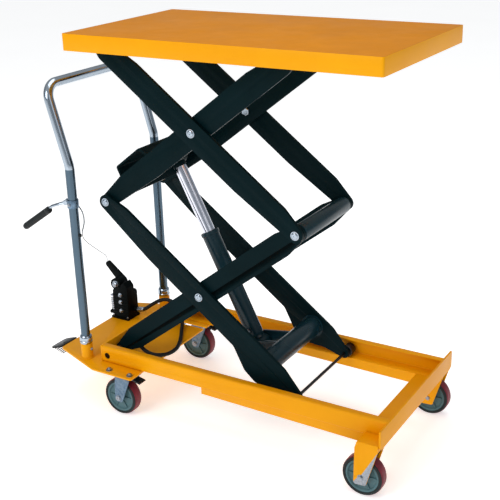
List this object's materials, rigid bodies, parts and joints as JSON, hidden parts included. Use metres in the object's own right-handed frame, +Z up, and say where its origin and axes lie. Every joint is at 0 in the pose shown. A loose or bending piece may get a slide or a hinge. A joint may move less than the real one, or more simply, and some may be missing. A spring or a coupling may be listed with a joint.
{
  "type": "scissor lift table",
  "caption": "Hand-pushed lift table: a flat top on two stacked scissors, raised by a foot-pumped cylinder, on a wheeled frame with a U-shaped push handle.",
  "frame": {"origin": "on the floor, under the middle of the bounding box", "axes": "+X from the push handle to the free end, +Y to the left when looking along +X, +Z up"},
  "size_m": [1.1942, 0.5218, 1.1294],
  "materials": {
    "yellow_paint": "gloss",
    "green_black_paint": "gloss",
    "chrome": "polished",
    "zinc_plate": "satin",
    "bare_steel": "satin",
    "wheel_centre": "satin",
    "tyre": "satin",
    "black_enamel": "gloss",
    "black_rubber": "matt"
  },
  "bodies": {
    "root": {"rail_right": "yellow_paint", "rail_left": "yellow_paint", "end_member": "yellow_paint", "cross_plate": "yellow_paint", "deck_plate": "yellow_paint", "base_pivot_shaft": "bare_steel", "fork_right": "yellow_paint", "fork_left": "yellow_paint", "handle_frame": "chrome", "lever_bracket": "zinc_plate", "pump_body": "black_enamel", "release_cable": "bare_steel", "hose_deck": "black_rubber"},
    "inner_lower": {"inner_lower_arm_right": "green_black_paint", "inner_lower_arm_left": "green_black_paint", "joint_tube": "green_black_paint", "joint_shaft": "chrome", "hose_arm": "black_rubber"},
    "outer_lower": {"outer_lower_arm_right": "green_black_paint", "outer_lower_arm_left": "green_black_paint", "cylinder_carrier": "green_black_paint", "lower_axle": "bare_steel", "low_pin_right": "chrome", "low_pin_left": "chrome", "left_pin_right": "chrome", "left_pin_left": "chrome", "hose_foot": "black_rubber"},
    "outer_upper": {"outer_upper_arm_right": "green_black_paint", "outer_upper_arm_left": "green_black_paint", "high_pin_right": "chrome", "high_pin_left": "chrome"},
    "inner_upper": {"inner_upper_arm_right": "green_black_paint", "inner_upper_arm_left": "green_black_paint", "torsion_box": "green_black_paint", "upper_axle": "bare_steel"},
    "table": {"table_tray": "yellow_paint", "table_shaft": "bare_steel"},
    "barrel": {"cylinder_barrel": "green_black_paint"},
    "rod": {"piston_rod": "chrome"},
    "release_lever": {"release_lever": "chrome", "lever_grip": "black_rubber"},
    "release_arm": {"release_arm": "black_enamel"},
    "pedal": {"foot_pedal": "black_enamel"},
    "piston": {"pump_piston": "bare_steel"},
    "lower_roller_right": {"lower_roller_right": "bare_steel"},
    "upper_roller_right": {"upper_roller_right": "bare_steel"},
    "fixed_wheel_right": {"fixed_hub_right": "wheel_centre", "fixed_tyre_right": "tyre"},
    "caster_right": {"caster_fork_right": "zinc_plate"},
    "caster_wheel_right": {"caster_hub_right": "wheel_centre", "caster_tyre_right": "tyre"},
    "brake_right": {"caster_brake_right": "black_enamel"},
    "lower_roller_left": {"lower_roller_left": "bare_steel"},
    "upper_roller_left": {"upper_roller_left": "bare_steel"},
    "fixed_wheel_left": {"fixed_hub_left": "wheel_centre", "fixed_tyre_left": "tyre"},
    "caster_left": {"caster_fork_left": "zinc_plate"},
    "caster_wheel_left": {"caster_hub_left": "wheel_centre", "caster_tyre_left": "tyre"},
    "brake_left": {"caster_brake_left": "black_enamel"}
  },
  "joints": [
    {"name": "lift", "type": "hinge", "parent": "root", "child": "inner_lower", "pos_m": [-0.315, 0, 0.1733], "axis": [0, -1, 0], "range_deg": [-30.7, 8.4], "deforming": ["hose_deck", "hose_arm", "hose_foot"]},
    {"name": "lower_centre_pivot", "type": "hinge", "parent": "inner_lower", "child": "outer_lower", "pos_m": [-0.00778, 0, 0.407], "axis": [0, -1, 0], "range_deg": [-17, 61.6]},
    {"name": "right_joint", "type": "hinge", "parent": "inner_lower", "child": "outer_upper", "pos_m": [0.29943, 0, 0.64069], "axis": [0, -1, 0], "range_deg": [-17, 61.6]},
    {"name": "upper_centre_pivot", "type": "hinge", "parent": "outer_upper", "child": "inner_upper", "pos_m": [-0.00778, 0, 0.87439], "axis": [0, -1, 0], "range_deg": [-61.6, 17]},
    {"name": "table_pivot", "type": "hinge", "parent": "outer_upper", "child": "table", "pos_m": [-0.315, 0, 1.10809], "axis": [0, -1, 0], "range_deg": [-30.9, 8.6]},
    {"name": "cylinder_foot", "type": "hinge", "parent": "outer_lower", "child": "barrel", "pos_m": [0.09595, 0, 0.22129], "axis": [0, -1, 0], "range_deg": [-1.88, 6.34]},
    {"name": "cylinder_stroke", "type": "slide", "parent": "barrel", "child": "rod", "axis": [-0.4445, 0, 0.8958], "range_m": [-0.1718, 0.04737]},
    {"name": "lower_roller_spin_right", "type": "hinge", "parent": "outer_lower", "child": "lower_roller_right", "pos_m": [0.29943, -0.173, 0.1733], "axis": [0, 1, 0], "continuous": true},
    {"name": "upper_roller_spin_right", "type": "hinge", "parent": "inner_upper", "child": "upper_roller_right", "pos_m": [0.29943, -0.173, 1.10809], "axis": [0, 1, 0], "continuous": true},
    {"name": "fixed_wheel_spin_right", "type": "hinge", "parent": "root", "child": "fixed_wheel_right", "pos_m": [0.54, -0.2319, 0.05726], "axis": [0, 1, 0], "continuous": true},
    {"name": "caster_swivel_right", "type": "hinge", "parent": "root", "child": "caster_right", "pos_m": [-0.2433, -0.203, 0.1344], "axis": [0, 0, 1], "continuous": true},
    {"name": "caster_wheel_spin_right", "type": "hinge", "parent": "caster_right", "child": "caster_wheel_right", "pos_m": [-0.2638, -0.203, 0.05726], "axis": [0, 1, 0], "continuous": true},
    {"name": "caster_brake_right", "type": "hinge", "parent": "caster_right", "child": "brake_right", "pos_m": [-0.2193, -0.203, 0.1251], "axis": [0, 1, 0], "range_deg": [0, 12]},
    {"name": "lower_roller_spin_left", "type": "hinge", "parent": "outer_lower", "child": "lower_roller_left", "pos_m": [0.29943, 0.173, 0.1733], "axis": [0, 1, 0], "continuous": true},
    {"name": "upper_roller_spin_left", "type": "hinge", "parent": "inner_upper", "child": "upper_roller_left", "pos_m": [0.29943, 0.173, 1.10809], "axis": [0, 1, 0], "continuous": true},
    {"name": "fixed_wheel_spin_left", "type": "hinge", "parent": "root", "child": "fixed_wheel_left", "pos_m": [0.54, 0.2319, 0.05726], "axis": [0, 1, 0], "continuous": true},
    {"name": "caster_swivel_left", "type": "hinge", "parent": "root", "child": "caster_left", "pos_m": [-0.2433, 0.203, 0.1344], "axis": [0, 0, 1], "continuous": true},
    {"name": "caster_wheel_spin_left", "type": "hinge", "parent": "caster_left", "child": "caster_wheel_left", "pos_m": [-0.2638, 0.203, 0.05726], "axis": [0, 1, 0], "continuous": true},
    {"name": "caster_brake_left", "type": "hinge", "parent": "caster_left", "child": "brake_left", "pos_m": [-0.2193, 0.203, 0.1251], "axis": [0, 1, 0], "range_deg": [0, 12]},
    {"name": "handle_lever", "type": "hinge", "parent": "root", "child": "release_lever", "pos_m": [-0.4185, -0.2, 0.64], "axis": [0, 1, 0], "range_deg": [0, 20], "stiffness_Nm_per_rad": 2, "springref_deg": -20.05, "deforming": ["release_cable"]},
    {"name": "release_valve", "type": "hinge", "parent": "root", "child": "release_arm", "pos_m": [-0.487, 0.105, 0.27], "axis": [0, 1, 0], "range_deg": [-0.2, 15.2]},
    {"name": "foot_pump", "type": "hinge", "parent": "root", "child": "pedal", "pos_m": [-0.461, 0, 0.1267], "axis": [0, -1, 0], "range_deg": [0, 12], "stiffness_Nm_per_rad": 8, "springref_deg": -17.19},
    {"name": "piston_slide", "type": "slide", "parent": "root", "child": "piston", "axis": [0, 0, -1], "range_m": [-0.0003, 0.0122]}
  ],
  "couplings": [
    {"joint": "lower_centre_pivot", "follows": "lift", "ratio": -2},
    {"joint": "right_joint", "follows": "lift", "ratio": -2},
    {"joint": "upper_centre_pivot", "follows": "lift", "ratio": 2},
    {"joint": "table_pivot", "follows": "lift", "ratio": 1},
    {"joint": "cylinder_foot", "follows": "lift", "ratio": -0.2},
    {"joint": "cylinder_stroke", "follows": "lift", "m_per_rad": 0.3197},
    {"joint": "release_valve", "follows": "handle_lever", "ratio": 0.75},
    {"joint": "piston_slide", "follows": "foot_pump", "m_per_rad": 0.056}
  ]
}
